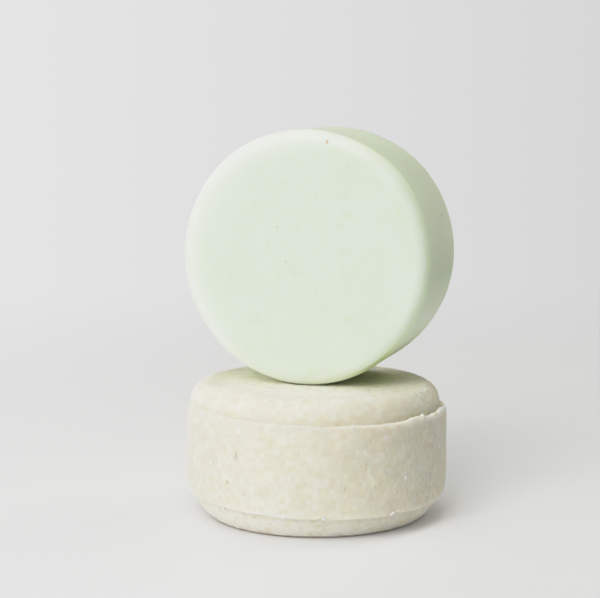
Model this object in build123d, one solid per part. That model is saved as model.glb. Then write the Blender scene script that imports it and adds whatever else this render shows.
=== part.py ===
from build123d import *
import math
import os

# A pair of shaving soap pucks, stood as they are shown for sale: a smooth poured puck stands on its rim
# on the flat top of a rougher pressed puck.
#
# The pressed puck is squeezed inside a ring between two dies. The ring leaves the upright band, and the
# soap that creeps up between die and ring leaves a thin lip around each end of the band, with a narrow
# ledge inside it. The top die leaves a rounded shoulder, and the foot's die leaves a slanted, slightly
# bulging side that meets the floor at a crisp edge.
# The smooth puck is poured in a round cavity. Its front face is the cavity's floor, with a full round
# edge, and its back face is the open side, with a tighter edge.
# The flecks are ground plant matter set in the smooth puck, flush with its skin. The crumbs are bits of
# the pressed puck's base that hang on its lips and band.
#
# Millimetres. +Z is up, the origin is the centre of the pressed puck's foot, and the smooth puck's front
# face looks towards -Y.

# Pressed puck
BAND_RADIUS = 35.4
PRESSED_HEIGHT = 36.6
TOP_FLAT_RADIUS = 28.4
FOOT_FLAT_RADIUS = 28.2
FOOT_SIDE_BULGE = 0.95
SHOULDER_HEIGHT = 6.9
SHOULDER_ROOT_RADIUS = 33.4
LIP_WIDTH = 0.8
LIP_RISE = 0.6

# Smooth puck
SMOOTH_RADIUS = 34.0
SMOOTH_THICKNESS = 33.0
FRONT_EDGE_RADIUS = 3.2
BACK_EDGE_RADIUS = 1.6

# Where the smooth puck stands: the middle of its thickness, and the air left under its rim
STAND_X = -0.6
STAND_Y = 5.2
STAND_GAP = 0.1

# Flecks: (across, up) from the middle of the front face, the same seen from behind on the back face, and
# (angle about the axis in degrees, share of the straight rim from the front) on the rim
FRONT_FLECKS = ((1.3, 4.4), (0.2, 4.9), (-7.0, 8.2), (-0.6, 12.0), (-10.9, 0.7), (-4.5, -0.8),
                (16.4, -11.7), (12.0, -14.0), (6.6, 30.8), (-11.1, 11.3), (-15.9, 1.8), (23.5, 5.6))
BACK_FLECKS = ((-3.2, 9.4), (8.8, 12.6), (14.9, -3.1), (-18.7, 4.2), (2.4, -15.8), (-9.6, -19.5),
               (21.3, 17.2))
RIM_FLECKS = ((47, 0.46), (52, 0.33), (18, 0.71), (-24, 0.38), (78, 0.84), (108, 0.22),
              (139, 0.62), (176, 0.41), (213, 0.77), (236, 0.15))
FLECK_DEPTH = 0.35
FLECK_RADIUS = 0.24
FLECK_RADIUS_SPREAD = 0.07
FLECK_SIDES = 5

# Crumbs: angle about +Z in degrees, from +X, and height of the crumb's middle
CRUMB_DEPTH = 0.5
CRUMB_STAND_OUT = 0.35
CRUMB_TAPER = 18.0
CRUMB_SIDES = 5
LOWER_LIP_Z = SHOULDER_HEIGHT - LIP_RISE
UPPER_LIP_Z = PRESSED_HEIGHT - LOWER_LIP_Z
LOWER_LIP_CRUMB_ANGLES = (-118, -87, -70.5, -39, 14, 61, 118, 172)
UPPER_LIP_CRUMB_ANGLES = (-58, -9, 95, 201)
BAND_CRUMBS = ((-32.5, 15.4), (48, 22.5), (140, 12.0), (236, 18.5))
LOWER_LIP_CRUMB_RADIUS = 0.75
UPPER_LIP_CRUMB_RADIUS = 0.55
BAND_CRUMB_RADIUS = 0.6


def pressed_section():
    """Half of the pressed puck's outline, from the foot's centre to the top's centre, as a face."""
    upper_shoulder_width = SHOULDER_ROOT_RADIUS - TOP_FLAT_RADIUS
    lip_inner = BAND_RADIUS - LIP_WIDTH
    lower_ledge = SHOULDER_HEIGHT
    upper_ledge = PRESSED_HEIGHT - SHOULDER_HEIGHT
    foot = Line((0, 0), (FOOT_FLAT_RADIUS, 0))
    foot_edge = Vector(FOOT_FLAT_RADIUS, 0)
    foot_root = Vector(SHOULDER_ROOT_RADIUS, lower_ledge)
    out_of_side = (foot_root - foot_edge).rotate(Axis.Z, -90).normalized()
    foot_side = ThreePointArc(
        foot_edge, (foot_edge + foot_root) * 0.5 + out_of_side * FOOT_SIDE_BULGE, foot_root
    )
    lower_ledge_line = Line((SHOULDER_ROOT_RADIUS, lower_ledge), (lip_inner, lower_ledge))
    lower_lip = Polyline((lip_inner, lower_ledge), (BAND_RADIUS - LIP_WIDTH / 3, LOWER_LIP_Z),
                         (BAND_RADIUS, LOWER_LIP_Z))
    band = Line((BAND_RADIUS, LOWER_LIP_Z), (BAND_RADIUS, UPPER_LIP_Z))
    upper_lip = Polyline((BAND_RADIUS, UPPER_LIP_Z), (BAND_RADIUS - LIP_WIDTH / 3, UPPER_LIP_Z),
                         (lip_inner, upper_ledge))
    upper_ledge_line = Line((lip_inner, upper_ledge), (SHOULDER_ROOT_RADIUS, upper_ledge))
    upper_shoulder = EllipticalCenterArc(
        (TOP_FLAT_RADIUS, upper_ledge), upper_shoulder_width, SHOULDER_HEIGHT, start_angle=0, arc_size=90
    )
    top = Polyline((TOP_FLAT_RADIUS, PRESSED_HEIGHT), (0, PRESSED_HEIGHT), (0, 0))
    outline = (foot + foot_side + lower_ledge_line + lower_lip + band
               + upper_lip + upper_ledge_line + upper_shoulder + top)
    return make_face(outline)


def pressed_block():
    """The pressed puck before its crumbs' pockets are cut."""
    return revolve(Plane.XZ * pressed_section(), Axis.Z)


def smooth_centre():
    """The middle of the smooth puck."""
    return Vector(STAND_X, STAND_Y, PRESSED_HEIGHT + STAND_GAP + SMOOTH_RADIUS)


def smooth_block():
    """The smooth puck before its flecks' pockets are cut, stood on its rim with its axis along Y."""
    upright = Location(smooth_centre(), (90, 0, 0))
    block = upright * Cylinder(SMOOTH_RADIUS, SMOOTH_THICKNESS)
    front_edge, *_, back_edge = block.edges().filter_by(GeomType.CIRCLE).sort_by(Axis.Y)
    block = fillet(front_edge, FRONT_EDGE_RADIUS)
    back_edge = block.edges().filter_by(GeomType.CIRCLE).sort_by(Axis.Y)[-1]
    return fillet(back_edge, BACK_EDGE_RADIUS)


def chip(point, normal, radius, inside, outside, spin, sides, taper=0.0):
    """A small prism that stands on a surface at point, from inside it to outside it along normal."""
    start = point - normal * inside
    outline = Plane(origin=start, z_dir=normal) * RegularPolygon(radius, sides, rotation=spin)
    return extrude(outline, inside + outside, dir=normal, taper=taper)


def fleck_radius(index):
    """Flecks come in three sizes."""
    return FLECK_RADIUS + FLECK_RADIUS_SPREAD * (index % 3 - 1)


def face_flecks(places, face_y, outward):
    """Flecks in one of the smooth puck's flat faces."""
    centre = smooth_centre()
    made = []
    for index, (across, up) in enumerate(places):
        point = Vector(centre.X + across, face_y, centre.Z + up)
        made.append(chip(point, outward, fleck_radius(index), FLECK_DEPTH, 0.0, 40 * index, FLECK_SIDES))
    return made


def rim_flecks():
    """Flecks around the smooth puck's rim, long enough to be trimmed to its curve."""
    centre = smooth_centre()
    straight = SMOOTH_THICKNESS - FRONT_EDGE_RADIUS - BACK_EDGE_RADIUS
    first_y = centre.Y - SMOOTH_THICKNESS / 2 + FRONT_EDGE_RADIUS
    made = []
    for index, (angle_deg, share) in enumerate(RIM_FLECKS):
        angle = math.radians(angle_deg)
        outward = Vector(math.cos(angle), 0, math.sin(angle))
        point = Vector(centre.X, first_y + straight * share, centre.Z) + outward * SMOOTH_RADIUS
        radius = fleck_radius(index)
        made.append(chip(point, outward, radius, FLECK_DEPTH, FLECK_DEPTH, 25 * index, FLECK_SIDES))
    return made


def fleck_solids(block):
    """Every fleck, flush with the smooth puck's skin."""
    centre = smooth_centre()
    half = SMOOTH_THICKNESS / 2
    proud = face_flecks(FRONT_FLECKS, centre.Y - half, Vector(0, -1, 0))
    proud += face_flecks([(-across, up) for across, up in BACK_FLECKS], centre.Y + half, Vector(0, 1, 0))
    proud += rim_flecks()
    return [fleck & block for fleck in proud]


def crumb(angle_deg, height, radius, spin):
    """One crumb on the band's skin, half sunk in it and narrower outside."""
    angle = math.radians(angle_deg)
    outward = Vector(math.cos(angle), math.sin(angle), 0)
    point = outward * BAND_RADIUS + Vector(0, 0, height)
    return chip(point, outward, radius, CRUMB_DEPTH, CRUMB_STAND_OUT, spin, CRUMB_SIDES, CRUMB_TAPER)


def crumb_solids():
    """Every crumb, on the lower lip, on the upper lip and on the band."""
    lower = [(angle, LOWER_LIP_Z, LOWER_LIP_CRUMB_RADIUS) for angle in LOWER_LIP_CRUMB_ANGLES]
    upper = [(angle, UPPER_LIP_Z, UPPER_LIP_CRUMB_RADIUS) for angle in UPPER_LIP_CRUMB_ANGLES]
    band = [(angle, height, BAND_CRUMB_RADIUS) for angle, height in BAND_CRUMBS]
    places = lower + upper + band
    return [crumb(angle, height, radius, 31 * index)
            for index, (angle, height, radius) in enumerate(places)]


def write(name, shape):
    export_step(shape, f"parts/{name}.step")


os.makedirs("parts", exist_ok=True)

crumbs = crumb_solids()
pressed_puck = pressed_block() - crumbs

smooth = smooth_block()
flecks = fleck_solids(smooth)
smooth_puck = smooth - flecks

write("pressed_puck", pressed_puck)
write("pressed_puck_crumbs", Compound(crumbs))
write("smooth_puck", smooth_puck)
write("smooth_puck_flecks", Compound(flecks))
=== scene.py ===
"""Two soap pucks on a pale floor: a smooth poured one stands on its rim on a rougher pressed one.

The CAD frame gives every place and size. Each puck is built here as one closed surface of revolution whose
profile changes with the angle, and its skin is then pushed in and out by relief: pressed noodles, drag
marks, pits, sugary grain and slow unevenness. All lengths are in metres, and MM turns millimetres into them.
"""

import math

import bmesh
import bpy
import numpy as np
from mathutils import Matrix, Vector
from mathutils.bvhtree import BVHTree


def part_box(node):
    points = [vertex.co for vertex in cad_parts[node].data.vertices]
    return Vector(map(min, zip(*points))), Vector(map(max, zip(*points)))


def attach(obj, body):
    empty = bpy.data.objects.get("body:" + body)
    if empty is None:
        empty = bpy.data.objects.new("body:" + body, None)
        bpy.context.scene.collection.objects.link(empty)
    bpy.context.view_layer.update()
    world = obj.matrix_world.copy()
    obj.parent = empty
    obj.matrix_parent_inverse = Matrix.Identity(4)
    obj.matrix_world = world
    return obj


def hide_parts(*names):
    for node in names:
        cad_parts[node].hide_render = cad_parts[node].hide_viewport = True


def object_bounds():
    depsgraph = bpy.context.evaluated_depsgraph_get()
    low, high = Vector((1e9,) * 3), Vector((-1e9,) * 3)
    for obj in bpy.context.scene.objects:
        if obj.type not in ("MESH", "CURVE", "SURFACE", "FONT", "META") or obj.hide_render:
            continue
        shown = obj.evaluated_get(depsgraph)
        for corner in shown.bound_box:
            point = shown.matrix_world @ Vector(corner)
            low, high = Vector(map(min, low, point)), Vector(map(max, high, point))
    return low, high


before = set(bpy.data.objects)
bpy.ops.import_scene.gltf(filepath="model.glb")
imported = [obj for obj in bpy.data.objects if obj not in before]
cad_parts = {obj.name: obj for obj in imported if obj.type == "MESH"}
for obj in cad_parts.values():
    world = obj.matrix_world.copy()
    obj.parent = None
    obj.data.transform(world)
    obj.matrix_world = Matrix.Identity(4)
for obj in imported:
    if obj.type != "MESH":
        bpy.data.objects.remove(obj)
cad_low, cad_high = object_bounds()

MM = 0.001
TURN = 2 * math.pi

# Places and sizes that the frame gives
PRESSED_LOW, PRESSED_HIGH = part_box("pressed_puck")
BAND_RADIUS = (PRESSED_HIGH.x - PRESSED_LOW.x) / 2
PRESSED_HEIGHT = PRESSED_HIGH.z - PRESSED_LOW.z
SMOOTH_LOW, SMOOTH_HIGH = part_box("smooth_puck")
SMOOTH_CENTRE = (SMOOTH_LOW + SMOOTH_HIGH) / 2
SMOOTH_RADIUS = (SMOOTH_HIGH.x - SMOOTH_LOW.x) / 2
SMOOTH_THICKNESS = SMOOTH_HIGH.y - SMOOTH_LOW.y

# The pressed puck's section, as in the CAD
TOP_FLAT_RADIUS = 28.4 * MM
FOOT_FLAT_RADIUS = 28.2 * MM
SHOULDER_HEIGHT = 6.9 * MM
SHOULDER_ROOT_RADIUS = 33.4 * MM
# 2 would make the top's shoulder a quarter of an ellipse, and more makes it squarer
TOP_POWER = 2.2
# How steep the foot's slanted side is, in degrees, at the floor and at the ledge
FOOT_SLOPES = (28, 78)

# The smooth puck's edges, as in the CAD
FRONT_EDGE_RADIUS = 3.2 * MM
BACK_EDGE_RADIUS = 1.6 * MM

# Where the camera stands and what it sees
CAMERA_PLACE = Vector((129.7, -436.1, 115.4)) * MM
CAMERA_TURN = math.radians(17.13)
CAMERA_PITCH = math.radians(7.1)
CAMERA_LENS = 101.56

RANDOM = np.random.default_rng(20)


# ---------------------------------------------------------------- noise and rasters

def lattice(cells, seed):
    """A repeatable random number from -1 to 1 for each whole-numbered cell."""
    mixed = cells[:, 0] * 73856093 ^ cells[:, 1] * 19349663 ^ cells[:, 2] * 83492791 ^ seed * 2654435761
    mixed = (mixed ^ (mixed >> 13)) * 1274126177 & 0x7FFFFFFF
    mixed = (mixed ^ (mixed >> 16)) * 668265263 & 0x7FFFFFFF
    return mixed / 0x3FFFFFFF - 1.0


def noise(points, size, seed, octaves=1):
    """Smooth random values of about -1 to 1 at points, with features about size wide."""
    total = np.zeros(len(points))
    weight = 1.0
    for octave in range(octaves):
        scaled = points * (2.0 ** octave / size) + 17.3 * octave
        cell = np.floor(scaled).astype(np.int64)
        part = scaled - cell
        part = part * part * part * (part * (part * 6 - 15) + 10)
        for corner in np.ndindex(2, 2, 2):
            share = np.prod(np.where(corner, part, 1 - part), axis=1)
            total += weight * share * lattice(cell + corner, seed + octave)
        weight *= 0.5
    return total


def around(angles, size_deg, seed, octaves=1):
    """Smooth random values that close up after a full turn."""
    radius = 180 / (math.pi * size_deg)
    points = np.stack([radius * np.cos(angles), radius * np.sin(angles), np.zeros_like(angles)], axis=-1)
    return noise(points.reshape(-1, 3), 1.0, seed, octaves).reshape(angles.shape)


def smooth_step(low, high, value):
    """0 below low, 1 above high, and a smooth rise between them."""
    part = np.clip((value - low) / (high - low), 0, 1)
    return part * part * (3 - 2 * part)


def bump_at(angles, centre_deg, width_deg):
    """A smooth hump of height 1 around an angle."""
    apart = (np.degrees(angles) - centre_deg + 180) % 360 - 180
    return np.exp(-(apart / width_deg) ** 2)


class Raster:
    """A flat sheet of values, for marks that are easier to draw flat than on a curved skin."""

    def __init__(self, width, height, wraps=False):
        self.step = 0.13 * MM
        self.wraps = wraps
        columns = round(width / self.step)
        self.across = width / columns
        self.values = np.zeros((round(height / self.step) + 1, columns))

    def stroke(self, x, y, length, width, angle, height, bend=0.0):
        """Draws a soft-edged, slightly bent noodle, where it is higher than what is there."""
        reach = length / 2 + width
        columns = np.arange(math.floor((x - reach) / self.across), math.ceil((x + reach) / self.across) + 1)
        rows = np.arange(math.floor((y - reach) / self.step), math.ceil((y + reach) / self.step) + 1)
        if not self.wraps:
            columns = columns[(columns >= 0) & (columns < self.values.shape[1])]
        rows = rows[(rows >= 0) & (rows < self.values.shape[0])]
        if not len(rows) or not len(columns):
            return
        dx = (columns * self.across - x)[None, :]
        dy = (rows * self.step - y)[:, None]
        along = dx * math.cos(angle) + dy * math.sin(angle)
        aside = -dx * math.sin(angle) + dy * math.cos(angle) + bend * (2 * along / length) ** 2
        past = np.maximum(np.abs(along) - length / 2, 0)
        apart = np.hypot(past, aside) / (width / 2)
        drawn = height * (1 - smooth_step(0.45, 1.15, apart))
        where = np.ix_(rows, columns % self.values.shape[1])
        self.values[where] = np.maximum(self.values[where], drawn)

    def at(self, x, y):
        """The values at points, smoothly between cells."""
        height, width = self.values.shape
        u = x / self.across
        v = np.clip(y / self.step, 0, height - 1.001)
        if not self.wraps:
            u = np.clip(u, 0, width - 1.001)
        left = np.floor(u).astype(int)
        low = np.floor(v).astype(int)
        across = u - left
        up = v - low
        right = (left + 1) % width
        left = left % width
        bottom = self.values[low, left] * (1 - across) + self.values[low, right] * across
        top = self.values[low + 1, left] * (1 - across) + self.values[low + 1, right] * across
        return bottom * (1 - up) + top * up


def scatter(raster, width, height, count, lengths, widths, heights, slant=None):
    """Draws count noodles over a raster, at any angle or near slant."""
    for _ in range(count):
        angle = RANDOM.uniform(0, math.pi) if slant is None else RANDOM.normal(slant[0], slant[1])
        length = RANDOM.uniform(*lengths)
        raster.stroke(RANDOM.uniform(0, width), RANDOM.uniform(0, height), length,
                      RANDOM.uniform(*widths), angle, RANDOM.uniform(*heights),
                      RANDOM.uniform(-0.05, 0.05) * length)


# ---------------------------------------------------------------- surfaces of revolution

class Rings:
    """A stack of rings of points, from the bottom's middle to the top's middle, as one closed surface.

    A ring has fewer points where it is smaller, by halving, so that the skin's cells stay about square.
    """

    def __init__(self, full_count, full_radius, fewest=12):
        self.full_count = full_count
        self.full_radius = full_radius
        self.fewest = fewest
        self.rings = []
        self.marks = []

    def count_at(self, radius):
        count = self.full_count
        while count // 2 >= self.fewest and radius < self.full_radius * count / self.full_count * 0.6:
            count //= 2
        return count

    def add(self, radius_of, height_of, nominal_radius, mark=0.0):
        """Adds a ring. radius_of and height_of give its radius and height at an array of angles."""
        count = self.count_at(nominal_radius)
        angles = np.arange(count) * TURN / count
        self.rings.append(np.stack([angles, radius_of(angles), height_of(angles)], axis=-1))
        self.marks.append(np.full(count, mark))

    def mesh(self, name):
        """The mesh, with each point's angle, radius, height and mark."""
        flat = np.concatenate(self.rings)
        marks = np.concatenate(self.marks)
        angles, radii, heights = flat.T
        points = np.stack([radii * np.cos(angles), radii * np.sin(angles), heights], axis=-1)
        starts = np.cumsum([0] + [len(ring) for ring in self.rings])
        faces = []
        for index, (low, high) in enumerate(zip(self.rings[:-1], self.rings[1:])):
            faces += ring_faces(starts[index], len(low), starts[index + 1], len(high))
        faces.append(list(range(len(self.rings[0])))[::-1])
        faces.append([starts[-2] + step for step in range(len(self.rings[-1]))])
        made = bpy.data.meshes.new(name)
        made.from_pydata(points.tolist(), [], faces)
        made.update()
        return made, flat, marks


def ring_faces(low_start, low_count, high_start, high_count):
    """The faces between two neighbouring rings, of equal counts or one with twice the other's."""
    faces = []
    for step in range(min(low_count, high_count)):
        after = (step + 1) % min(low_count, high_count)
        if low_count == high_count:
            faces.append([low_start + step, low_start + after, high_start + after, high_start + step])
        elif low_count > high_count:
            first, middle, last = (low_start + (2 * step + extra) % low_count for extra in range(3))
            faces.append([first, middle, high_start + step])
            faces.append([middle, last, high_start + after, high_start + step])
        else:
            first, middle, last = (high_start + (2 * step + extra) % high_count for extra in range(3))
            faces.append([low_start + step, middle, first])
            faces.append([low_start + step, low_start + after, last, middle])
    return faces


def vectors_of(items, name):
    found = np.zeros(len(items) * 3, np.float32)
    items.foreach_get(name, found)
    return found.reshape(-1, 3).astype(float)


def points_of(mesh):
    return vectors_of(mesh.vertices, "co")


def normals_of(mesh):
    """Each point's outward direction."""
    return vectors_of(mesh.vertex_normals, "vector")


def set_points(mesh, points):
    mesh.vertices.foreach_set("co", points.astype(np.float32).ravel())
    mesh.update()


def set_values(mesh, **named):
    """Stores values for each point, under their names, for the material to read."""
    for name, values in named.items():
        layer = mesh.attributes.new(name, "FLOAT", "POINT")
        layer.data.foreach_set("value", values.astype(np.float32))


def add_object(mesh, name, body, slot, shades, *replaced):
    """Puts a finished mesh in the scene, on its body, in place of its CAD nodes."""
    mesh.polygons.foreach_set("use_smooth", np.ones(len(mesh.polygons), bool))
    mesh.materials.append(shades)
    made = bpy.data.objects.new(name, mesh)
    bpy.context.scene.collection.objects.link(made)
    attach(made, body)
    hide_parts(*replaced)
    return made


# ---------------------------------------------------------------- the pressed puck's shape

FLAT_CELL = 0.3 * MM
BAND_CELL = 0.28 * MM
SHOULDER_ROWS = 30
LIP_ROWS = 6
ROLL_ROWS = 3
# How far out across the lip its tip is
LIP_TIP_SHARE = 0.55
LEDGE_ROWS = 4
EDGE_WEAR = 0.6 * MM
WORN_HEIGHT = 3.4 * MM
LEAST_LEDGE = 0.06 * MM
# Which part of the pressed puck a ring belongs to
ON_END, ON_LEDGE, ON_LIP, ON_BAND = 0.0, 0.5, 1.0, 2.0


def slab_at(angles, centre_deg, width_deg):
    """A hump of height 1 around an angle, flatter and steeper-sided than bump_at's."""
    apart = (np.degrees(angles) - centre_deg + 180) % 360 - 180
    return np.exp(-(apart / width_deg) ** 4)


def upper_ledge(angles):
    """How far the upper ledge lies below the top: the top die sank deeper at the right than at the left."""
    return SHOULDER_HEIGHT - MM * (0.85 * slab_at(angles, -98, 62) + 0.8 * bump_at(angles, -128, 34))


def lower_ledge(angles):
    """How far the lower ledge lies above the floor."""
    return np.full_like(angles, SHOULDER_HEIGHT)


def upper_lip(angles):
    """How whole the upper lip is at each angle. It is worn off at the left and stands up at the right."""
    uneven = 0.45 + 0.20 * around(angles, 16, 3, 2) + 0.10 * around(angles, 5, 5, 2)
    right_side = 0.65 * bump_at(angles, -12, 30)
    left_side = 0.75 * bump_at(angles, -132, 56)
    return np.clip(uneven + right_side - left_side, 0.03, 1.4)


def upper_lip_edge(angles):
    """How far the upper lip's tip falls short of its line, or reaches past it in tabs torn at the right."""
    ragged = 0.10 * around(angles, 1.3, 4, 3) * (1 + 2.0 * bump_at(angles, -5, 32))
    tabs = 1.1 * bump_at(angles, -1, 5) + 0.9 * slab_at(angles, -24, 6.5) + 0.4 * bump_at(angles, 38, 6)
    return MM * (ragged * upper_lip(angles) - tabs * (1 + 0.25 * around(angles, 1.6, 13, 2)))


def lower_lip(angles):
    """How whole the lower lip is, which is nearly everywhere."""
    uneven = 0.95 + 0.2 * around(angles, 14, 7, 2) + 0.08 * around(angles, 5, 9, 2)
    return np.clip(uneven, 0.4, 1.5)


def lower_lip_edge(angles):
    """How the lower lip wanders up and down, with chips out of it."""
    ragged = 0.06 * (1 + 3 * bump_at(angles, -20, 16)) * around(angles, 1.8, 9, 2)
    wave = 0.16 * around(angles, 13, 11, 3) + ragged
    wave = wave + 0.4 * bump_at(angles, -118, 26) + 0.65 * slab_at(angles, -152, 46)
    wave = wave + 0.9 * slab_at(angles, 8, 24) + 0.3 * bump_at(angles, -28, 14)
    for centre, width, depth in ((-38, 1.6, 0.9), (-71, 1.2, 0.5), (-95, 2.5, 0.35), (20, 2.0, 0.7),
                                 (74, 3.0, 0.6), (131, 1.8, 0.8), (186, 2.6, 0.5)):
        wave = wave + depth * bump_at(angles, centre, width)
    return MM * wave


def lower_rub(angles):
    """How much of the band's lower edge is rubbed away: most at its two sides."""
    return MM * (0.4 * slab_at(angles, -170, 26) + 0.25 * slab_at(angles, 14, 22))


def arched(first_deg, last_deg):
    """A side that bends evenly from one slope to another, as (share out, share up) of a share along it."""
    first, last = math.radians(first_deg), math.radians(last_deg)

    def side(share):
        slope = first + (last - first) * share
        return ((math.sin(slope) - math.sin(first)) / (math.sin(last) - math.sin(first)),
                (math.cos(first) - math.cos(slope)) / (math.cos(first) - math.cos(last)))
    return side


def rounded(power):
    """A shoulder that is level at the flat and upright at the ledge."""
    def side(share):
        turn = share * math.pi / 2
        return math.sin(turn) ** (2 / power), 1 - math.cos(turn) ** (2 / power)
    return side


class End:
    """One end of the pressed puck, seen with the end's flat at 0 and the band in the positive direction."""

    def __init__(self, ledge, whole, shift, rub, flat_radius, side, lip_width, rise, roll):
        self.ledge = ledge
        self.whole = whole
        self.shift = shift
        self.rub = rub
        self.flat_radius = flat_radius
        self.side = side
        self.lip_width = lip_width
        self.rise = rise
        self.roll = roll

    def wear(self, angles):
        """1 where the lip is worn off, 0 where it is whole."""
        return 1 - np.clip(self.whole(angles), 0, 1)

    def lost(self, angles):
        """How much of the band's radius is worn away at its edge."""
        return EDGE_WEAR * self.wear(angles) + self.rub(angles)

    def edge(self, angles):
        """The radius of the band's edge."""
        return BAND_RADIUS - self.lost(angles)

    def inner(self, angles):
        """The radius of the lip's inner side."""
        return self.edge(angles) - self.lip_width * (1 - 0.85 * self.wear(angles))

    def root(self, angles):
        """The radius of the shoulder where it meets the ledge."""
        root = SHOULDER_ROOT_RADIUS + (self.inner(angles) - SHOULDER_ROOT_RADIUS) * self.wear(angles)
        return np.minimum(root, self.inner(angles) - LEAST_LEDGE)

    def tip(self, angles):
        """How far from the flat the lip's tip is."""
        return self.ledge(angles) - self.rise * self.whole(angles) + self.shift(angles)

    def brim(self, angles):
        """How far from the flat the band begins, where the lip's tip has rolled over into it."""
        return self.tip(angles) + self.roll

    def band_radius(self, angles, depth):
        """The band's radius, a depth below the brim."""
        near = np.clip(1 - depth / WORN_HEIGHT, 0, 1)
        return BAND_RADIUS - self.lost(angles) * near ** 1.5

    def rows(self, rings):
        """(radius, distance from the flat, nominal radius, mark) of each row, from the middle out."""
        radius = rings.full_radius * 0.002
        while radius < self.flat_radius:
            yield lambda a, r=radius: np.full_like(a, r), np.zeros_like, radius, ON_END
            radius += max(TURN * radius / rings.count_at(radius), FLAT_CELL)
        for step in range(SHOULDER_ROWS + 1):
            out, up = self.side(step / SHOULDER_ROWS)
            yield (lambda a, o=out: self.flat_radius + (self.root(a) - self.flat_radius) * o,
                   lambda a, u=up: self.ledge(a) * u, SHOULDER_ROOT_RADIUS, ON_END)
        for step in range(1, LEDGE_ROWS + 1):
            share = step / LEDGE_ROWS
            yield (lambda a, s=share: self.root(a) * (1 - s) + self.inner(a) * s, self.ledge,
                   BAND_RADIUS, ON_LEDGE)
        for step in range(1, LIP_ROWS + 1):
            turn = step / LIP_ROWS * math.pi / 2
            out = LIP_TIP_SHARE * (1 - math.cos(turn))
            rise = math.sin(turn) ** 0.8
            yield (lambda a, o=out: self.inner(a) * (1 - o) + self.edge(a) * o,
                   lambda a, r=rise: self.ledge(a) * (1 - r) + self.tip(a) * r, BAND_RADIUS, ON_LIP)
        for step in range(1, ROLL_ROWS + 1):
            turn = step / ROLL_ROWS * math.pi / 2
            out = LIP_TIP_SHARE + (1 - LIP_TIP_SHARE) * math.sin(turn)
            drop = 1 - math.cos(turn)
            yield (lambda a, o=out: self.inner(a) * (1 - o) + self.edge(a) * o,
                   lambda a, d=drop: self.tip(a) + self.roll * d, BAND_RADIUS, ON_LIP)


def pressed_rings():
    """The pressed puck before its relief."""
    rings = Rings(768, BAND_RADIUS)
    foot = End(lower_ledge, lower_lip, lower_lip_edge, lower_rub, FOOT_FLAT_RADIUS,
               arched(*FOOT_SLOPES), lip_width=0.9 * MM, rise=0.6 * MM, roll=0.35 * MM)
    top = End(upper_ledge, upper_lip, upper_lip_edge, np.zeros_like, TOP_FLAT_RADIUS,
              rounded(TOP_POWER), lip_width=1.4 * MM, rise=0.45 * MM, roll=0.8 * MM)
    for radius_of, height_of, nominal, mark in foot.rows(rings):
        rings.add(radius_of, height_of, nominal, mark)
    rows = round((PRESSED_HEIGHT - 2 * SHOULDER_HEIGHT) / BAND_CELL)

    def height_at(angles, share):
        return foot.brim(angles) * (1 - share) + (PRESSED_HEIGHT - top.brim(angles)) * share

    def radius_at(angles, share):
        height = height_at(angles, share)
        low = foot.band_radius(angles, height - foot.brim(angles))
        high = top.band_radius(angles, PRESSED_HEIGHT - top.brim(angles) - height)
        return np.minimum(low, high)

    for step in range(1, rows):
        share = step / rows
        rings.add(lambda a, s=share: radius_at(a, s), lambda a, s=share: height_at(a, s),
                  BAND_RADIUS, ON_BAND)
    for radius_of, drop_of, nominal, mark in reversed(list(top.rows(rings))):
        rings.add(radius_of, lambda a, d=drop_of: PRESSED_HEIGHT - d(a), nominal, mark)
    return rings


END_SHEET = 80 * MM


def pressed_marks():
    """The rasters of noodles, for the band and for each end."""
    round_length = TURN * BAND_RADIUS
    noodle = {"lengths": (1.0 * MM, 3.6 * MM), "widths": (0.5 * MM, 0.9 * MM), "heights": (0.1, 0.55)}
    needle = {"lengths": (1.5 * MM, 4.5 * MM), "widths": (0.35 * MM, 0.6 * MM), "heights": (0.3, 1.0)}
    crack = {"lengths": (0.4 * MM, 2.0 * MM), "widths": (0.3 * MM, 0.5 * MM), "heights": (0.2, 1.0)}
    band = Raster(round_length, PRESSED_HEIGHT, wraps=True)
    scatter(band, round_length, PRESSED_HEIGHT, 1500, **noodle)
    scatter(band, round_length, PRESSED_HEIGHT, 300, **needle)
    drags = Raster(round_length, PRESSED_HEIGHT, wraps=True)
    scatter(drags, round_length, PRESSED_HEIGHT, 1500, slant=(math.pi / 2, 0.22), **needle)
    cracks = Raster(round_length, PRESSED_HEIGHT, wraps=True)
    scatter(cracks, round_length, PRESSED_HEIGHT, 1100, slant=(math.pi / 2, 0.3), **crack)
    ends = []
    for _ in range(2):
        end = Raster(END_SHEET, END_SHEET)
        scatter(end, END_SHEET, END_SHEET, 1500, **noodle)
        scatter(end, END_SHEET, END_SHEET, 220, **needle)
        ends.append(end)
    return band, drags, cracks, ends


PITS = (
    # angle in degrees, height, radius, depth and how much taller than wide
    (-109.6, 21.5, 0.60, 0.38, 2.2), (-114.2, 14.2, 0.60, 0.40, 1.3), (-105.5, 11.8, 0.50, 0.30, 1.2),
    (-83.0, 17.4, 0.30, 0.16, 1.5), (-52.0, 20.2, 0.34, 0.18, 1.4), (-26.0, 24.9, 0.30, 0.2, 2.0),
)
SMALL_PITS = 420
TOP_TILT = 0.008

# How far each kind of relief reaches
SLOW_RELIEF = 0.08 * MM
LUMP_RELIEF = 0.045 * MM
NOODLE_RELIEF = 0.035 * MM
BLOTCH_RELIEF = 0.035 * MM
FIBRE_RELIEF = 0.06 * MM
SUGAR_RELIEF = 0.17 * MM
GRAIN_RELIEF = 0.018 * MM
SMEAR_RELIEF = 0.07 * MM
HOLE_DEPTH = 0.22 * MM
SKIN_MARGIN = 0.05 * MM


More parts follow.
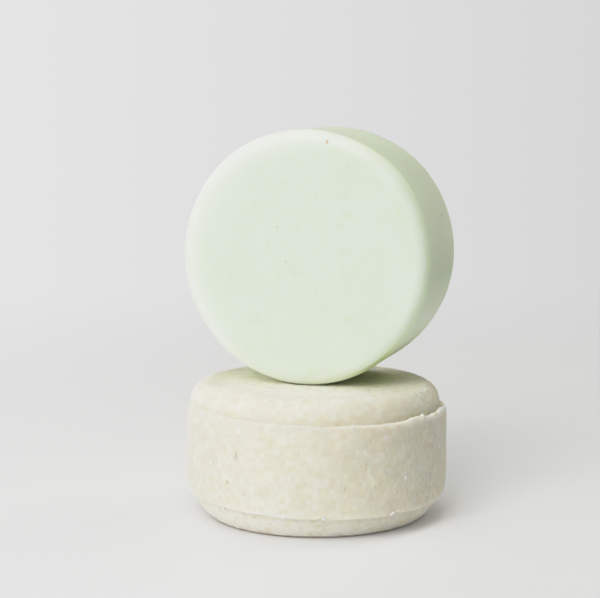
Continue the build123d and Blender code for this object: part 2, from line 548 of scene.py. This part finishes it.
def pit_field(points):
    """How deep the pits are at each point: those placed above, and small ones anywhere."""
    depth = np.zeros(len(points))
    spots = []
    for angle, height, radius, deep, tall in PITS:
        turn = math.radians(angle)
        spots.append((BAND_RADIUS * math.cos(turn), BAND_RADIUS * math.sin(turn), height * MM,
                      radius * MM, deep * MM, tall))
    for index in RANDOM.choice(len(points), SMALL_PITS, replace=False):
        spots.append((*points[index], RANDOM.uniform(0.2, 0.45) * MM, RANDOM.uniform(0.05, 0.16) * MM,
                      RANDOM.uniform(0.8, 1.8)))
    for x, y, z, radius, deep, tall in spots:
        near = np.abs(points - (x, y, z)).max(axis=1) < 3 * radius * max(tall, 1)
        apart = points[near] - (x, y, z)
        apart[:, 2] /= tall
        far = np.linalg.norm(apart, axis=1) / radius
        depth[near] = np.maximum(depth[near], deep * (1 - smooth_step(0.2, 1.1, far)))
    return depth


def make_pressed_puck(shades):
    mesh, place, marks = pressed_rings().mesh("pressed_puck_skin")
    points = points_of(mesh)
    normals = normals_of(mesh)
    angles, radii, heights = place.T
    on_band = (marks == ON_BAND).astype(float)
    top_end = heights > PRESSED_HEIGHT / 2

    band, drags, cracks, (foot, top) = pressed_marks()
    # Along the skin from the end's middle, so that marks keep their size over the shoulder
    drop = np.where(top_end, PRESSED_HEIGHT - heights, heights)
    along = radii + np.clip(drop, 0, SHOULDER_HEIGHT) * 0.65
    flat_x = END_SHEET / 2 + along * np.cos(angles)
    flat_y = END_SHEET / 2 + along * np.sin(angles)
    on_ends = np.where(top_end, top.at(flat_x, flat_y), foot.at(flat_x, flat_y))
    noodles = np.where(on_band > 0, band.at((angles % TURN) * BAND_RADIUS, heights), on_ends)
    lipped = np.clip(np.where(top_end, upper_lip(angles), lower_lip(angles)), 0, 1)

    right_side = bump_at(angles, -5, 55)
    patches = 0.7 + 0.5 * noise(points, 5 * MM, 41)
    dragged = on_band * (0.2 + 0.8 * right_side) * patches
    across_band = (angles % TURN) * BAND_RADIUS
    fibres = dragged * (drags.at(across_band, heights) - cracks.at(across_band, heights))
    end_share = radii / SHOULDER_ROOT_RADIUS
    shoulder_middle = smooth_step(0.86, 0.92, end_share) * (1 - 0.8 * smooth_step(0.96, 1.0, end_share))
    sugar = (1 - on_band) * shoulder_middle * bump_at(angles, -8, 15) * top_end
    grain = noise(points, 0.75 * MM, 51, 2)
    slow = noise(points, 26 * MM, 61, 2)
    lumps = noise(points, 5 * MM, 71, 2)
    blotch = noise(points, 1.4 * MM, 81, 3)

    # Soap smeared over the band's edge, down to an uneven line, and the crease inside the lip with its holes
    # and painted shade
    ledge = np.where(top_end, upper_ledge(angles), SHOULDER_HEIGHT)
    smear_depth = (1.9 + 0.8 * noise(points, 2.5 * MM, 91, 2)) * MM
    below = np.maximum(drop - ledge + 0.5 * MM, 0) / smear_depth
    smear = (marks >= ON_LIP) * (1 - smooth_step(0.35, 1.0, below))
    smear *= (0.35 + 0.65 * lipped) * np.where(top_end, 1.0, 0.5 + 0.9 * slab_at(angles, -94, 12))
    gutter = np.exp(-((drop - ledge + 0.4 * MM) / (1.0 * MM)) ** 2) * (marks < ON_LIP)
    gutter *= 0.75 + 0.35 * noise(points, 2.0 * MM, 93, 2)
    holes = gutter * smooth_step(0.0, 0.5, noise(points, 0.8 * MM, 95, 2))
    holes *= bump_at(angles, -14, 24) * top_end
    pits = np.maximum(pit_field(points), HOLE_DEPTH * holes)
    # Painted shadow: a dark line along the foot's lowest edge, where it meets the floor
    foot_edge = (marks < ON_LIP) * ~top_end * (radii > FOOT_FLAT_RADIUS * 0.97)
    foot_edge = foot_edge * (1 - smooth_step(0.3, 0.75, heights / MM))

    # The flats stay a little below their own planes, so that the pucks rest at one height
    on_flat = 1 - smooth_step(TOP_FLAT_RADIUS * 0.8, TOP_FLAT_RADIUS, radii)
    push = SLOW_RELIEF * slow * (1 - on_flat)
    push += LUMP_RELIEF * lumps
    push += NOODLE_RELIEF * (noodles - 0.3)
    push += BLOTCH_RELIEF * blotch
    push += FIBRE_RELIEF * fibres
    push += SUGAR_RELIEF * sugar * grain
    push += GRAIN_RELIEF * grain
    push += SMEAR_RELIEF * smear * top_end
    push -= pits
    push -= SKIN_MARGIN
    points += normals * push[:, None]
    points[:, 2] = np.clip(points[:, 2], 0, np.where(radii < TOP_FLAT_RADIUS, PRESSED_HEIGHT, 1))
    # The top slopes down a little to the right, without moving under the puck that stands on it
    share_up = smooth_step(0.7, 1.0, points[:, 2] / PRESSED_HEIGHT)
    points[:, 2] -= TOP_TILT * (points[:, 0] - SMOOTH_CENTRE.x) * share_up
    set_points(mesh, points)

    # Painted light: the foot is paler than the band, less so at its two sides, and the top's flat is palest
    # at the right
    foot_pale = 1 - 0.9 * bump_at(angles, 0, 42) - 0.35 * bump_at(angles, -150, 35)
    top_flat = top_end * (1 - smooth_step(TOP_FLAT_RADIUS * 0.75, TOP_FLAT_RADIUS, radii))
    top_flat = top_flat * (0.5 + 0.5 * smooth_step(-5 * MM, 12 * MM, points[:, 0]))
    set_values(mesh, noodle=noodles, fibre=fibres, blotch=blotch, smear=smear, gutter=gutter,
               foot=(marks < ON_LIP) * ~top_end * foot_pale, top_flat=top_flat, foot_edge=foot_edge,
               band=on_band, pit=pits / (0.3 * MM), sugar=sugar * smooth_step(0.2, 0.6, grain))
    return add_object(mesh, "pressed_puck_soap", "pressed_puck", "pressed_soap", shades, "pressed_puck")


# ---------------------------------------------------------------- the smooth puck's shape

FACE_CELL = 0.55 * MM
RIM_CELL = 0.5 * MM
EDGE_ROWS = 12

# How far the smooth puck's unevenness reaches
SMOOTH_UNEVENNESS = 0.10 * MM
RIM_SWELL = 0.25 * MM
RIPPLE = 0.04 * MM
DISH_DEPTH = 0.22 * MM
MENISCUS_DEPTH = 0.30 * MM
DENTS = (
    # angle in degrees, height above the back face, depth and width
    (12, 11, 0.25, 5), (-14, 14, 0.22, 6), (70, 21, 0.18, 7), (150, 16, 0.2, 6),
)


def smooth_rings():
    """The smooth puck lying on its back face, before its unevenness.

    A ring's mark is 0 on the back face, 0 to 1 over the back edge, 1 on the rim, 2 to 3 over the front edge
    and 3 on the front face.
    """
    rings = Rings(512, SMOOTH_RADIUS)

    def plain(radius, height, mark):
        rings.add(lambda a: np.full_like(a, radius), lambda a: np.full_like(a, height), radius, mark)

    def face_radii(edge_radius):
        radii = []
        radius = rings.full_radius * 0.004
        while radius < SMOOTH_RADIUS - edge_radius:
            radii.append(radius)
            radius += max(TURN * radius / rings.count_at(radius), FACE_CELL)
        return radii

    for radius in face_radii(BACK_EDGE_RADIUS):
        plain(radius, 0, 0.0)
    for step in range(EDGE_ROWS + 1):
        turn = step / EDGE_ROWS * math.pi / 2
        plain(SMOOTH_RADIUS - BACK_EDGE_RADIUS * (1 - math.sin(turn)),
              BACK_EDGE_RADIUS * (1 - math.cos(turn)), math.sin(turn))
    low = BACK_EDGE_RADIUS
    high = SMOOTH_THICKNESS - FRONT_EDGE_RADIUS
    rows = round((high - low) / RIM_CELL)
    for step in range(1, rows):
        plain(SMOOTH_RADIUS, low + (high - low) * step / rows, 1.0)
    for step in range(EDGE_ROWS + 1):
        turn = step / EDGE_ROWS * math.pi / 2
        plain(SMOOTH_RADIUS - FRONT_EDGE_RADIUS * (1 - math.cos(turn)),
              high + FRONT_EDGE_RADIUS * math.sin(turn), 2.0 + math.sin(turn))
    for radius in face_radii(FRONT_EDGE_RADIUS)[::-1]:
        plain(radius, SMOOTH_THICKNESS, 3.0)
    return rings


def make_smooth_puck(shades):
    mesh, place, marks = smooth_rings().mesh("smooth_puck_skin")
    points = points_of(mesh)
    normals = normals_of(mesh)
    angles, radii, heights = place.T
    out = radii / SMOOTH_RADIUS
    rim = np.clip(marks, 0, 1) * (marks <= 2)
    # Painted highlight: the front edge is paler than the face, as a sheen on the rounded edge. At the left
    # the paleness starts further in, and at the right it ends before the rim
    left_share = smooth_step(-0.2, 0.9, -np.cos(angles - math.radians(-30)))
    inmost = 0.93 - 0.22 * left_share
    front_edge = (marks >= 2) * smooth_step(0, 1, (out - inmost) / (0.98 - inmost))
    front_edge *= 1 - 0.6 * bump_at(angles, -38, 34)
    right_share = smooth_step(-0.2, 0.6, np.cos(angles))
    front_edge *= 1 - right_share * smooth_step(0.95, 0.99, out)
    slow = noise(points, 22 * MM, 81, 2)
    ripple = noise(points * (1, 1, 0.3), 7 * MM, 91, 2)
    dish = (1 - out ** 2) * (heights > SMOOTH_THICKNESS / 2)
    meniscus = (1 - out ** 3) * (marks < 0.5)
    # The stretch of rim that stands on the other puck keeps its place
    standing = bump_at(angles, -90, 10) * (out > 0.97)
    push = SMOOTH_UNEVENNESS * (slow + 0.3) * (1 - 0.8 * standing)
    push += RIM_SWELL * (bump_at(angles, 132, 30) + bump_at(angles, 42, 16) + bump_at(angles, 195, 14)) * rim
    push += RIPPLE * ripple * (1 - standing)
    push -= DISH_DEPTH * dish
    push -= MENISCUS_DEPTH * meniscus
    for angle, height, deep, width in DENTS:
        turn = math.radians(angle)
        spot = (SMOOTH_RADIUS * math.cos(turn), SMOOTH_RADIUS * math.sin(turn), height * MM)
        far = np.linalg.norm(points - spot, axis=1) / (width * MM)
        push -= deep * MM * np.exp(-far * far) * rim
    points += normals * push[:, None]
    # Lying on its back face becomes standing on its rim, with the front face towards -Y
    stood = np.stack([SMOOTH_CENTRE.x + points[:, 0], SMOOTH_HIGH.y - points[:, 2],
                      SMOOTH_CENTRE.z + points[:, 1]], axis=-1)
    set_points(mesh, stood)
    # Painted light: the rim and the outermost front edge take a lighter, greener colour than the face
    rim_colour = np.maximum(rim, (marks > 2) * smooth_step(0.96, 1.0, out))
    # Painted shade: a dark olive band low on the rim, at the right
    low_rim = (out > 0.975) * (marks > 0.8) * bump_at(angles, -54, 12)
    set_values(mesh, edge=front_edge, rim=rim_colour, low_rim=low_rim)
    return add_object(mesh, "smooth_puck_soap", "smooth_puck", "smooth_soap", shades, "smooth_puck")


# ---------------------------------------------------------------- flecks and crumbs

WELD = 0.02 * MM
FLECK_SUNK = 0.12 * MM
CRUMB_SUNK = 0.1 * MM
# How much larger than its CAD solid's half-width each kind of grain is
FLECK_GROWTH = 1.9
TOP_EDGE_FLECK_GROWTH = 2.2
CRUMB_GROWTH = 1.15
BAND_CRUMB_GROWTH = 1.6


def islands(name):
    """The middle and the largest half-width of each separate solid in a CAD node."""
    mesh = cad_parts[name].data
    points = points_of(mesh)
    _, welded = np.unique(np.round(points / WELD).astype(np.int64), axis=0, return_inverse=True)
    welded = welded.ravel()
    leader = np.arange(welded.max() + 1)
    ends = np.zeros(len(mesh.edges) * 2, np.int32)
    mesh.edges.foreach_get("vertices", ends)
    for first, second in welded[ends.reshape(-1, 2)]:
        while leader[first] != first:
            first = leader[first]
        while leader[second] != second:
            second = leader[second]
        leader[max(first, second)] = min(first, second)
    while not (leader[leader] == leader).all():
        leader = leader[leader]
    found = []
    for chosen in np.unique(leader):
        own = points[leader[welded] == chosen]
        low, high = own.min(axis=0), own.max(axis=0)
        found.append(((low + high) / 2, (high - low).max() / 2))
    return sorted(found, key=lambda island: tuple(island[0]))


def lump(centre, outward, radius, flatness, slimness, roughness, seed):
    """An irregular grain, flattened along outward: its points, its faces and its tone."""
    grown = bmesh.new()
    bmesh.ops.create_icosphere(grown, subdivisions=3, radius=1)
    points = np.array([vert.co for vert in grown.verts])
    faces = [[vert.index for vert in face.verts] for face in grown.faces]
    grown.free()
    points *= (1 + roughness * noise(points + 9.7 * seed, 0.9, seed, 3))[:, None]
    points *= (1.0 - slimness * abs(math.sin(seed * 2.3)), 1.0, flatness)
    facing = np.array(Vector(outward).to_track_quat("Z", "Y").to_matrix())
    return points @ facing.T * radius + centre, faces, seed * 0.618 % 1


def skin_of(piece):
    """A piece's surface, for finding the nearest point on it."""
    return BVHTree.FromPolygons([v.co for v in piece.data.vertices],
                                [list(face.vertices) for face in piece.data.polygons])


def sit_on(skin, centre, sunk):
    """(place, outward) of a grain on the skin nearest to centre, sunk below it by a length."""
    spot, outward, _, _ = skin.find_nearest(Vector(centre))
    return np.array(spot - outward * sunk), outward


def lumps_mesh(name, grains):
    """One mesh of many grains, each with its own tone."""
    points, faces, tones = [], [], []
    for own_points, own_faces, tone in grains:
        start = len(points)
        points += own_points.tolist()
        faces += [[start + corner for corner in face] for face in own_faces]
        tones += [tone] * len(own_points)
    made = bpy.data.meshes.new(name)
    made.from_pydata(points, [], faces)
    made.update()
    set_values(made, tone=np.array(tones))
    return made


def make_flecks(puck, shades):
    """Bits of plant set in the smooth puck's skin."""
    skin = skin_of(puck)
    grains = []
    for seed, (centre, radius) in enumerate(islands("smooth_puck_flecks"), start=1):
        place, outward = sit_on(skin, centre, FLECK_SUNK)
        # The one in the front face's top edge is a larger bit of bark
        at_top_edge = centre[1] < SMOOTH_CENTRE.y and centre[2] > SMOOTH_HIGH.z - 4 * MM
        size = radius * (TOP_EDGE_FLECK_GROWTH if at_top_edge else FLECK_GROWTH)
        points, faces, tone = lump(place, outward, size, 0.25, 0.5, 0.4, seed)
        grains.append((points, faces, 1.0 if at_top_edge else tone * 0.9))
    mesh = lumps_mesh("smooth_puck_fleck_grains", grains)
    return add_object(mesh, "smooth_puck_plant_flecks", "smooth_puck", "plant_fleck", shades,
                      "smooth_puck_flecks")


def make_crumbs(puck, shades):
    """Bits of the pressed puck that cling to its lips and band."""
    skin = skin_of(puck)
    grains = []
    for seed, (centre, radius) in enumerate(islands("pressed_puck_crumbs"), start=40):
        place, outward = sit_on(skin, centre, CRUMB_SUNK)
        on_band = SHOULDER_HEIGHT + MM < centre[2] < PRESSED_HEIGHT - SHOULDER_HEIGHT - MM
        size = radius * (BAND_CRUMB_GROWTH if on_band else CRUMB_GROWTH)
        grains.append(lump(place, outward, size, 0.45, 0.6, 0.45, seed))
    mesh = lumps_mesh("pressed_puck_crumb_grains", grains)
    return add_object(mesh, "pressed_puck_soap_crumbs", "pressed_puck", "soap_crumb", shades,
                      "pressed_puck_crumbs")


# ---------------------------------------------------------------- materials

class Nodes:
    """A tree of shader nodes being put together."""

    def __init__(self, tree):
        self.tree = tree

    def new(self, kind):
        return self.tree.nodes.new("ShaderNode" + kind)

    def link(self, source, socket):
        """Feeds a socket from another one, or gives it a value."""
        if isinstance(source, bpy.types.NodeSocket):
            self.tree.links.new(source, socket)
        else:
            socket.default_value = source

    def mix(self, share, first, second):
        """Two colours mixed."""
        made = self.new("Mix")
        made.data_type = "RGBA"
        for name, source in (("Factor", share), ("A", first), ("B", second)):
            socket = next(s for s in made.inputs if s.name == name and s.enabled)
            self.link(source, socket)
        return next(s for s in made.outputs if s.enabled)


class Shades(Nodes):
    """A material."""

    def __init__(self, name):
        self.material = bpy.data.materials.new(name)
        self.material.use_nodes = True
        super().__init__(self.material.node_tree)
        self.skin = self.tree.nodes["Principled BSDF"]
        self.place = self.new("TexCoord").outputs["Object"]

    def stretched(self, scale):
        """The place, scaled differently along X, Y and Z."""
        made = self.new("Mapping")
        made.inputs["Scale"].default_value = scale
        self.link(self.place, made.inputs["Vector"])
        return made.outputs["Vector"]

    def noise(self, size, detail=3.0, roughness=0.55, place=None, distortion=0.0):
        """Noise from 0 to 1 with features about size wide."""
        made = self.new("TexNoise")
        made.inputs["Scale"].default_value = 1 / size
        made.inputs["Detail"].default_value = detail
        made.inputs["Roughness"].default_value = roughness
        made.inputs["Distortion"].default_value = distortion
        self.link(self.place if place is None else place, made.inputs["Vector"])
        return made.outputs["Fac"]

    def value(self, name):
        """A value stored on the mesh."""
        made = self.new("Attribute")
        made.attribute_name = name
        return made.outputs["Fac"]

    def math(self, kind, first, second, third=0.0):
        made = self.new("Math")
        made.operation = kind
        for socket, source in zip(made.inputs, (first, second, third)):
            self.link(source, socket)
        return made.outputs[0]

    def between(self, value, low, high):
        """value's way from low to high, from 0 to 1."""
        made = self.new("MapRange")
        made.interpolation_type = "SMOOTHSTEP"
        made.inputs["From Min"].default_value = low
        made.inputs["From Max"].default_value = high
        self.link(value, made.inputs["Value"])
        return made.outputs["Result"]

    def tint(self, colour, where, strength, other):
        """A colour that another one covers, as far as where and strength say."""
        return self.mix(self.math("MULTIPLY", where, strength), colour, other)

    def bump(self, height, distance, under=None):
        made = self.new("Bump")
        made.inputs["Distance"].default_value = distance
        self.link(height, made.inputs["Height"])
        if under is not None:
            self.link(under, made.inputs["Normal"])
        return made.outputs["Normal"]

    def scatter_light(self, depth, reach):
        """Light that enters the soap and comes out nearby. reach is red's, green's and blue's share."""
        self.skin.inputs["Subsurface Weight"].default_value = 1.0
        self.skin.inputs["Subsurface Scale"].default_value = depth
        self.skin.inputs["Subsurface Radius"].default_value = reach


def smooth_soap():
    """Waxy, slightly see-through mint soap."""
    shades = Shades("smooth_mint_soap")
    mint = (0.71, 0.815, 0.66, 1)
    olive = (0.65, 0.785, 0.54, 1)
    milky = (0.75, 0.845, 0.72, 1)
    pale = (0.83, 0.885, 0.77, 1)
    leafy = (0.81, 0.935, 0.70, 1)
    shadowed = (0.51, 0.59, 0.29, 1)
    cloud = shades.between(shades.noise(14 * MM, 3), 0.35, 0.65)
    smudge = shades.between(shades.noise(3 * MM, 4, 0.6), 0.52, 0.74)
    colour = shades.tint(mint, cloud, 0.5, milky)
    colour = shades.tint(colour, smudge, 0.62, olive)
    # Painted light: the rim is lighter and greener than the face
    colour = shades.mix(shades.value("rim"), colour, leafy)
    # Painted highlight: a paler front edge
    colour = shades.tint(colour, shades.value("edge"), 0.8, pale)
    # Painted shade: dark olive low on the rim, at the right
    colour = shades.mix(shades.value("low_rim"), colour, shadowed)
    shades.link(colour, shades.skin.inputs["Base Color"])
    fine = shades.noise(0.5 * MM, 4)
    rough = shades.math("MULTIPLY_ADD", shades.noise(6 * MM, 4), 0.22, 0.36)
    shades.link(rough, shades.skin.inputs["Roughness"])
    shades.link(shades.bump(fine, 0.012 * MM), shades.skin.inputs["Normal"])
    shades.skin.inputs["IOR"].default_value = 1.46
    shades.scatter_light(5.0 * MM, (0.95, 1.05, 0.8))
    return shades.material


def pressed_soap():
    """Chalky cream soap pressed from noodles, with paler noodles and darker seams."""
    shades = Shades("pressed_cream_soap")
    cream = (0.80, 0.76, 0.615, 1)
    grey = (0.735, 0.72, 0.58, 1)
    pale = (0.88, 0.86, 0.77, 1)
    warm = (0.74, 0.675, 0.52, 1)
    shade = (0.46, 0.41, 0.29, 1)
    top_cream = (0.94, 0.905, 0.74, 1)
    damp = (0.36, 0.23, 0.17, 1)
    frosting = (0.93, 0.92, 0.88, 1)
    cloud = shades.between(shades.noise(9 * MM, 4), 0.35, 0.65)
    colour = shades.mix(cloud, cream, grey)
    # Painted light: the foot is paler
    colour = shades.tint(colour, shades.value("foot"), 0.75, pale)
    # Painted light: the top's flat is paler, most at the right
    colour = shades.mix(shades.value("top_flat"), colour, top_cream)
    blush = shades.between(shades.noise(3.5 * MM, 4, 0.6), 0.52, 0.72)
    colour = shades.tint(colour, blush, 0.4, warm)
    dark_blotch = shades.between(shades.value("blotch"), -0.05, -0.9)
    colour = shades.tint(colour, dark_blotch, 0.7, warm)
    light_blotch = shades.between(shades.value("blotch"), 0.1, 0.9)
    colour = shades.tint(colour, light_blotch, 0.5, pale)
    colour = shades.tint(colour, shades.value("noodle"), 0.4, pale)
    light_fibre = shades.between(shades.value("fibre"), 0.1, 0.9)
    colour = shades.tint(colour, light_fibre, 0.4, pale)
    dark_fibre = shades.between(shades.value("fibre"), -0.1, -0.8)
    colour = shades.tint(colour, dark_fibre, 0.55, shade)
    fibre = shades.noise(0.5 * MM, 4, 0.65)
    colour = shades.tint(colour, shades.between(fibre, 0.5, 0.75), 0.3, pale)
    colour = shades.tint(colour, shades.value("smear"), 0.7, pale)
    # Painted shade: the crease inside the lip is darker
    colour = shades.tint(colour, shades.value("gutter"), 0.4, warm)
    # Painted shadow: the foot's lowest edge is dark reddish brown
    colour = shades.tint(colour, shades.value("foot_edge"), 0.8, damp)
    colour = shades.tint(colour, shades.value("sugar"), 0.7, frosting)
    colour = shades.tint(colour, shades.value("pit"), 0.5, shade)
    shades.link(colour, shades.skin.inputs["Base Color"])
    rough = shades.math("MULTIPLY_ADD", fibre, 0.25, 0.5)
    shades.link(rough, shades.skin.inputs["Roughness"])
    drag = shades.noise(1 * MM, 3, 0.6, place=shades.stretched((2.0, 2.0, 0.5)), distortion=0.4)
    drag = shades.math("MULTIPLY", drag, shades.value("band"))
    under = shades.bump(drag, 0.10 * MM)
    grain = shades.noise(0.35 * MM, 4, 0.6)
    shades.link(shades.bump(grain, 0.04 * MM, under=under), shades.skin.inputs["Normal"])
    shades.skin.inputs["IOR"].default_value = 1.45
    shades.scatter_light(1.4 * MM, (1.0, 0.85, 0.5))
    return shades.material


def plant_fleck():
    """Dried leaf, mostly olive and now and then brown, under a film of soap."""
    shades = Shades("dried_leaf_fleck")
    dark_leaf = (0.42, 0.50, 0.31, 1)
    light_leaf = (0.54, 0.61, 0.38, 1)
    bark = (0.62, 0.36, 0.18, 1)
    soap = (0.66, 0.74, 0.6, 1)
    brown = shades.between(shades.value("tone"), 0.9, 0.95)
    colour = shades.mix(shades.value("tone"), dark_leaf, light_leaf)
    colour = shades.mix(brown, colour, bark)
    film = shades.between(shades.noise(0.15 * MM, 3), 0.3, 0.8)
    colour = shades.mix(shades.math("MULTIPLY_ADD", film, 0.4, 0.15), colour, soap)
    shades.link(colour, shades.skin.inputs["Base Color"])
    rough = shades.math("MULTIPLY_ADD", film, 0.2, 0.5)
    shades.link(rough, shades.skin.inputs["Roughness"])
    shades.link(shades.bump(shades.noise(0.08 * MM, 3), 0.02 * MM), shades.skin.inputs["Normal"])
    return shades.material


def soap_crumb():
    """Dry white crumbs of soap."""
    shades = Shades("dry_soap_crumb")
    cream = (0.84, 0.81, 0.70, 1)
    white = (0.94, 0.92, 0.84, 1)
    cloud = shades.between(shades.noise(0.4 * MM, 4), 0.3, 0.7)
    colour = shades.mix(cloud, cream, white)
    shades.link(colour, shades.skin.inputs["Base Color"])
    rough = shades.math("MULTIPLY_ADD", cloud, 0.2, 0.5)
    shades.link(rough, shades.skin.inputs["Roughness"])
    shades.link(shades.bump(shades.noise(0.12 * MM, 4), 0.04 * MM), shades.skin.inputs["Normal"])
    shades.scatter_light(0.8 * MM, (1.0, 0.9, 0.7))
    return shades.material


# ---------------------------------------------------------------- floor, light and camera

FLOOR_SIZE = 3.0
FLOOR_FADE = (0.12, 0.55)
FLOOR_GLOW = 0.08
# Painted light: the wall is lighter at the left than at the right, as the light falls across it
WALL_LEFT = (0.904, 0.904, 0.904, 1)
WALL_RIGHT = (0.693, 0.700, 0.695, 1)
WALL_TURN = 0.19
EVEN_LIGHT = 0.022
LIGHT_DISTANCE = 1.2
WHITE = (1.0, 1.0, 1.0)
WARM = (1.0, 0.98, 0.86)
LIGHTS = (
    # name, bearing and elevation in degrees, size in metres, power in watts and colour
    ("front", 261, 32, 0.7, 7.0, WHITE),
    ("front_high", 270, 57, 0.6, 3.8, WHITE),
    ("low_left", 231, 10, 1.0, 6.1, WHITE),
    ("above", 0, 90, 0.6, 3.25, WHITE),
    ("high_behind_right", 45, 57, 0.6, 2.45, WARM),
    ("high_left", 180, 57, 0.6, 0.8, WHITE),
    ("low_behind_left", 136, 8, 0.9, 5.8, WHITE),
    ("low_behind_right", 60, 8, 0.6, 1.5, WARM),
)
FILM_KNEE = 0.55
FILM_TOP = 0.95
FILM_WHITE = 2.0
FILM_STEPS = 16


def make_floor():
    """A pale sheet, faintly lit from behind, that fades into the air far away, so that no horizon shows."""
    mesh = bpy.data.meshes.new("floor")
    corners = [(x * FLOOR_SIZE, y * FLOOR_SIZE, 0) for x, y in ((-1, -1), (1, -1), (1, 1), (-1, 1))]
    mesh.from_pydata(corners, [], [(0, 1, 2, 3)])
    floor = bpy.data.objects.new("floor", mesh)
    bpy.context.scene.collection.objects.link(floor)
    shades = Shades("pale_floor")
    shades.skin.inputs["Base Color"].default_value = (0.765, 0.765, 0.77, 1)
    shades.skin.inputs["Emission Color"].default_value = (1, 1, 1, 1)
    shades.skin.inputs["Emission Strength"].default_value = FLOOR_GLOW
    shades.skin.inputs["Roughness"].default_value = 0.7
    shades.skin.inputs["Specular IOR Level"].default_value = 0.2
    away = shades.new("VectorMath")
    away.operation = "LENGTH"
    shades.link(shades.place, away.inputs[0])
    shown = shades.math("SUBTRACT", 1.0, shades.between(away.outputs["Value"], *FLOOR_FADE))
    shades.link(shown, shades.skin.inputs["Alpha"])
    mesh.materials.append(shades.material)


def make_world():
    """A weak even light, and the pale wall that the camera sees behind everything."""
    world = bpy.data.worlds.new("studio")
    world.use_nodes = True
    bpy.context.scene.world = world
    nodes = Nodes(world.node_tree)
    even = nodes.tree.nodes["Background"]
    even.inputs["Color"].default_value = (*WHITE, 1)
    even.inputs["Strength"].default_value = EVEN_LIGHT
    wall = nodes.new("Background")
    aside = nodes.new("VectorMath")
    aside.operation = "DOT_PRODUCT"
    aside.inputs[1].default_value = (math.cos(CAMERA_TURN), math.sin(CAMERA_TURN), 0)
    nodes.link(nodes.new("TexCoord").outputs["Generated"], aside.inputs[0])
    share = nodes.new("MapRange")
    share.inputs["From Min"].default_value = -WALL_TURN
    share.inputs["From Max"].default_value = WALL_TURN
    nodes.link(aside.outputs["Value"], share.inputs["Value"])
    # Painted light: lighter at the left, darker at the right
    nodes.link(nodes.mix(share.outputs["Result"], WALL_LEFT, WALL_RIGHT), wall.inputs["Color"])
    both = nodes.new("MixShader")
    nodes.link(nodes.new("LightPath").outputs["Is Camera Ray"], both.inputs["Fac"])
    nodes.link(even.outputs["Background"], both.inputs[1])
    nodes.link(wall.outputs["Background"], both.inputs[2])
    nodes.link(both.outputs["Shader"], nodes.tree.nodes["World Output"].inputs["Surface"])


def make_light(name, bearing, elevation, size, power, colour):
    """A square soft light that looks at the middle of the object. Its bearing is from +X, anticlockwise."""
    light = bpy.data.lights.new(name, "AREA")
    light.shape = "SQUARE"
    light.size = size
    light.energy = power
    light.color = colour
    holder = bpy.data.objects.new(name, light)
    bpy.context.scene.collection.objects.link(holder)
    middle = (cad_low + cad_high) / 2
    level = math.cos(math.radians(elevation))
    turn = math.radians(bearing)
    away = Vector((level * math.cos(turn), level * math.sin(turn), math.sin(math.radians(elevation))))
    holder.location = middle + away * LIGHT_DISTANCE
    holder.rotation_mode = "QUATERNION"
    holder.rotation_quaternion = away.to_track_quat("Z", "Y")


def set_film():
    """A film's shoulder: bright values are held back towards white, and dark ones stay as they are."""
    view = bpy.context.scene.view_settings
    view.view_transform = "Standard"
    view.use_curve_mapping = True
    mapping = view.curve_mapping
    mapping.white_level = (FILM_WHITE, FILM_WHITE, FILM_WHITE)
    curve = mapping.curves[3]
    curve.points[0].location = (0, 0)
    curve.points[1].location = (1, film(FILM_WHITE))
    for step in range(1, FILM_STEPS):
        share = step / FILM_STEPS
        curve.points.new(share, film(share * FILM_WHITE))
    mapping.update()


def film(value):
    """What the film makes of a scene's value."""
    if value < FILM_KNEE:
        return value
    room = FILM_TOP - FILM_KNEE
    return FILM_KNEE + room * (1 - math.exp(-(value - FILM_KNEE) / room))


def make_camera():
    lens = bpy.data.cameras.new("camera")
    lens.sensor_width = 36
    lens.lens = CAMERA_LENS
    lens.clip_start = 0.01
    lens.clip_end = 20
    camera = bpy.data.objects.new("camera", lens)
    bpy.context.scene.collection.objects.link(camera)
    camera.location = CAMERA_PLACE
    camera.rotation_euler = (math.pi / 2 - CAMERA_PITCH, 0, CAMERA_TURN)
    bpy.context.scene.camera = camera


make_camera()
pressed = make_pressed_puck(pressed_soap())
smooth = make_smooth_puck(smooth_soap())
make_flecks(smooth, plant_fleck())
make_crumbs(pressed, soap_crumb())
make_floor()
make_world()
for light in LIGHTS:
    make_light(*light)
set_film()
